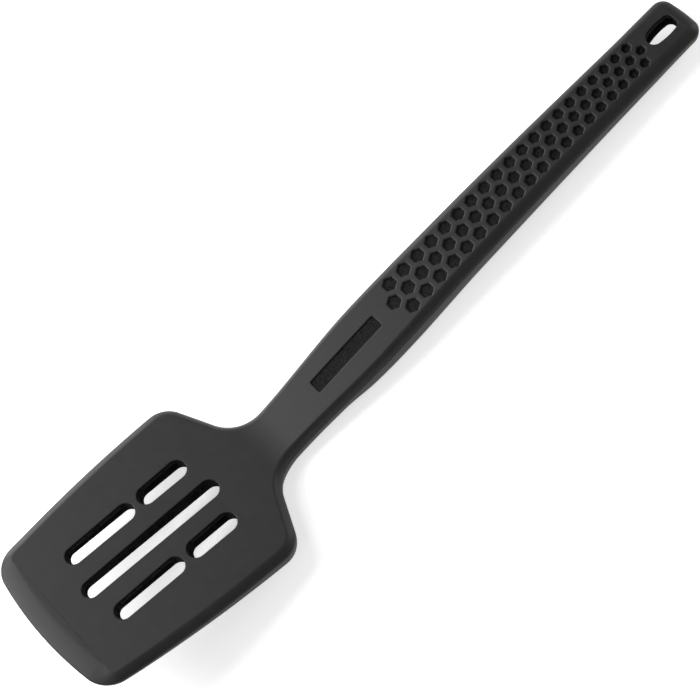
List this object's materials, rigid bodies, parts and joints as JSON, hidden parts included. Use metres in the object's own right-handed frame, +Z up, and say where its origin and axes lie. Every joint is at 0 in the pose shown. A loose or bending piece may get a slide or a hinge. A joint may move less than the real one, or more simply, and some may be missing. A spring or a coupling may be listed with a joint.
{
  "type": "slotted spatula",
  "caption": "Silicone-covered slotted turner with a rising blade, a narrow neck, a long arched handle with six-sided grip pockets and a hanging hole.",
  "frame": {"origin": "middle of the turner seen from above, on the surface that it lies on", "axes": "+X from the blade's tip to the hanging end, +Y across the handle, +Z up out of the top face"},
  "size_m": [0.3058, 0.0746, 0.0284],
  "materials": {
    "silicone": "matte black silicone with a fine moulded grain",
    "core_nylon": "satin black glass-filled nylon"
  },
  "bodies": {
    "root": {"core": "core_nylon", "lower_skin": "silicone", "upper_skin": "silicone"}
  },
  "joints": []
}
